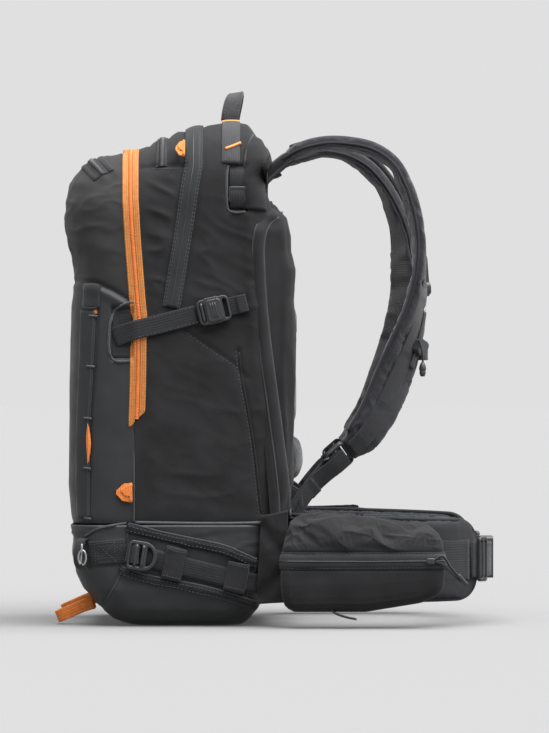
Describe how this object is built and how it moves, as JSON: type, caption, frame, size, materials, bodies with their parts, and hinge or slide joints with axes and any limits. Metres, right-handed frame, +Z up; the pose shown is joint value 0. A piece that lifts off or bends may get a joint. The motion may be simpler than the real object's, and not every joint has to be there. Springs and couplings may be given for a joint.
{
  "type": "avalanche airbag backpack",
  "caption": "Ski-touring backpack with a fan-inflated avalanche airbag, hinged front panel, arched shoulder straps, pocketed hip belt and axe loops.",
  "frame": {"origin": "on the flat of the base, on the pack's middle plane, where the pack stands", "axes": "+X to the wearer's right, +Y from the pack towards the wearer, +Z up along the pack"},
  "size_m": [0.3796, 0.4696, 0.5707],
  "materials": {
    "pack_fabric": "matte",
    "tarpaulin": "satin",
    "matte_panel": "matte",
    "back_foam": "matte",
    "strap_fabric": "matte",
    "webbing_black": "matte",
    "webbing_grey": "matte",
    "webbing_orange": "matte",
    "airbag_nylon": "matte",
    "plastic_black": "satin",
    "plastic_orange": "satin",
    "sheet_plastic": "satin",
    "aluminium": "satin",
    "steel": "satin"
  },
  "bodies": {
    "pack": {"base_boot": "tarpaulin", "main_shell": "pack_fabric", "front_lower_panel": "tarpaulin", "back_panel": "back_foam", "lumbar_pad": "back_foam", "frame_sheet": "sheet_plastic", "frame_stay_right": "aluminium", "frame_stay_left": "aluminium", "fan_housing": "plastic_black", "fan_cover": "plastic_black", "fan_motor": "aluminium", "outlet_duct": "plastic_black", "control_box": "plastic_black", "battery_pack": "plastic_black", "airbag_packet": "airbag_nylon", "trigger_cable_pack": "plastic_black", "lower_webbing_right": "webbing_black", "lower_webbing_left": "webbing_black", "compression_buckle_right": "plastic_black", "compression_buckle_left": "plastic_black", "side_band_right": "webbing_black", "side_band_left": "webbing_black"},
    "front_flap": {"front_panel": "matte_panel", "goggle_pocket": "matte_panel", "compression_strap_right": "webbing_black", "compression_strap_left": "webbing_black"},
    "haul_loop": {"haul_loop": "webbing_grey"},
    "impeller": {"impeller": "plastic_black"},
    "non_return_flap": {"non_return_flap": "plastic_black"},
    "power_button": {"power_button": "plastic_orange"},
    "strap_right": {"shoulder_pad_right": "strap_fabric", "ladderlock_right": "plastic_black"},
    "strap_left": {"shoulder_pad_left": "strap_fabric", "ladderlock_left": "plastic_black", "trigger_housing": "plastic_black", "trigger_cable_strap": "plastic_black"},
    "trigger": {"trigger_handle": "plastic_black"},
    "sternum_slider_right": {"sternum_slider_right": "plastic_black"},
    "sternum_slider_left": {"sternum_slider_left": "plastic_black"},
    "sternum_right": {"sternum_webbing_right": "webbing_black", "sternum_socket": "plastic_black"},
    "sternum_left": {"sternum_webbing_left": "webbing_black", "sternum_plug": "plastic_black"},
    "belt_right": {"hip_wing_right": "back_foam", "hip_pocket_right": "pack_fabric"},
    "belt_left": {"hip_wing_left": "back_foam", "hip_pocket_left": "pack_fabric"},
    "belt_end_right": {"hip_webbing_right": "webbing_black", "hip_socket": "plastic_black"},
    "belt_end_left": {"hip_webbing_left": "webbing_black", "hip_plug": "plastic_black"},
    "pocket_zip_right": {"pocket_zip_slider_right": "webbing_black"},
    "pocket_zip_left": {"pocket_zip_slider_left": "webbing_black"},
    "front_zip_right": {"front_zip_slider_right": "webbing_orange"},
    "front_zip_left": {"front_zip_slider_left": "webbing_orange"},
    "main_zip": {"main_zip_slider": "webbing_orange"},
    "axe_loop_right": {"ice_axe_loop_right": "webbing_orange"},
    "axe_loop_left": {"ice_axe_loop_left": "webbing_orange"},
    "tool_hook": {"tool_hook": "steel"}
  },
  "joints": [
    {"name": "front_panel_open", "type": "hinge", "parent": "pack", "child": "front_flap", "pos_m": [0, -0.122, 0.208], "axis": [1, 0, 0], "range_deg": [0, 75]},
    {"name": "haul_loop_fold", "type": "hinge", "parent": "pack", "child": "haul_loop", "pos_m": [0, 0.046, 0.539], "axis": [1, 0, 0], "range_deg": [-55, 55]},
    {"name": "impeller_spin", "type": "hinge", "parent": "pack", "child": "impeller", "pos_m": [-0.042, 0.042, 0.33], "axis": [0, 1, 0], "continuous": true},
    {"name": "non_return_flap_lift", "type": "hinge", "parent": "pack", "child": "non_return_flap", "pos_m": [-0.042, 0.048, 0.4015], "axis": [1, 0, 0], "range_deg": [0, 60]},
    {"name": "power_button_press", "type": "slide", "parent": "pack", "child": "power_button", "axis": [0, 1, 0], "range_m": [0, 0.002], "stiffness_N_per_m": 900},
    {"name": "shoulder_strap_right_swing", "type": "hinge", "parent": "pack", "child": "strap_right", "pos_m": [0.052, 0.1, 0.495], "axis": [1, 0, 0], "range_deg": [0, 12]},
    {"name": "shoulder_strap_left_swing", "type": "hinge", "parent": "pack", "child": "strap_left", "pos_m": [-0.052, 0.1, 0.495], "axis": [1, 0, 0], "range_deg": [0, 12]},
    {"name": "sternum_right_height", "type": "slide", "parent": "strap_right", "child": "sternum_slider_right", "axis": [-0.118, 0.2711, 0.9553], "range_m": [-0.012, 0.024]},
    {"name": "sternum_left_height", "type": "slide", "parent": "strap_left", "child": "sternum_slider_left", "axis": [0.12, 0.207, 0.971], "range_m": [-0.012, 0.024]},
    {"name": "sternum_right_swing", "type": "hinge", "parent": "sternum_slider_right", "child": "sternum_right", "pos_m": [0.067, 0.2505, 0.2913], "axis": [0, 0, -1], "range_deg": [0, 60]},
    {"name": "sternum_left_swing", "type": "hinge", "parent": "sternum_slider_left", "child": "sternum_left", "pos_m": [-0.071, 0.251, 0.292], "axis": [0, 0, 1], "range_deg": [0, 60]},
    {"name": "trigger_pull", "type": "slide", "parent": "strap_left", "child": "trigger", "axis": [0, 1, 0], "range_m": [0, 0.045]},
    {"name": "hip_belt_right_swing", "type": "hinge", "parent": "pack", "child": "belt_right", "pos_m": [0.114, 0.101, 0.07], "axis": [0, 0, -1], "range_deg": [0, 25]},
    {"name": "hip_belt_left_swing", "type": "hinge", "parent": "pack", "child": "belt_left", "pos_m": [-0.114, 0.101, 0.07], "axis": [0, 0, 1], "range_deg": [0, 25]},
    {"name": "hip_buckle_right_swing", "type": "hinge", "parent": "belt_right", "child": "belt_end_right", "pos_m": [0.112, 0.291, 0.07], "axis": [0, 0, -1], "range_deg": [0, 60]},
    {"name": "hip_buckle_left_swing", "type": "hinge", "parent": "belt_left", "child": "belt_end_left", "pos_m": [-0.112, 0.291, 0.07], "axis": [0, 0, 1], "range_deg": [0, 60]},
    {"name": "pocket_zip_right_slide", "type": "slide", "parent": "belt_right", "child": "pocket_zip_right", "axis": [0, -1, 0], "range_m": [0, 0.13]},
    {"name": "pocket_zip_left_slide", "type": "slide", "parent": "belt_left", "child": "pocket_zip_left", "axis": [0, -1, 0], "range_m": [0, 0.13]},
    {"name": "front_zip_right_slide", "type": "slide", "parent": "pack", "child": "front_zip_right", "axis": [0, 0, 1], "range_m": [0, 0.13]},
    {"name": "front_zip_left_slide", "type": "slide", "parent": "pack", "child": "front_zip_left", "axis": [0, 0, 1], "range_m": [0, 0.13]},
    {"name": "main_zip_slide", "type": "slide", "parent": "pack", "child": "main_zip", "axis": [0.6816, 0, -0.7317], "range_m": [0, 0.018]},
    {"name": "axe_loop_right_lift", "type": "hinge", "parent": "pack", "child": "axe_loop_right", "pos_m": [0, -0.112, 0.024], "axis": [-1, 0, 0], "range_deg": [0, 80]},
    {"name": "axe_loop_left_lift", "type": "hinge", "parent": "pack", "child": "axe_loop_left", "pos_m": [0, -0.112, 0.024], "axis": [-1, 0, 0], "range_deg": [0, 80]},
    {"name": "tool_hook_swing", "type": "hinge", "parent": "pack", "child": "tool_hook", "pos_m": [0.149, -0.114, 0.089], "axis": [0, -1, 0], "range_deg": [0, 60]}
  ],
  "couplings": [
    {"joint": "shoulder_strap_left_swing", "follows": "shoulder_strap_right_swing", "ratio": 1},
    {"joint": "sternum_left_height", "follows": "sternum_right_height", "ratio": 1}
  ]
}
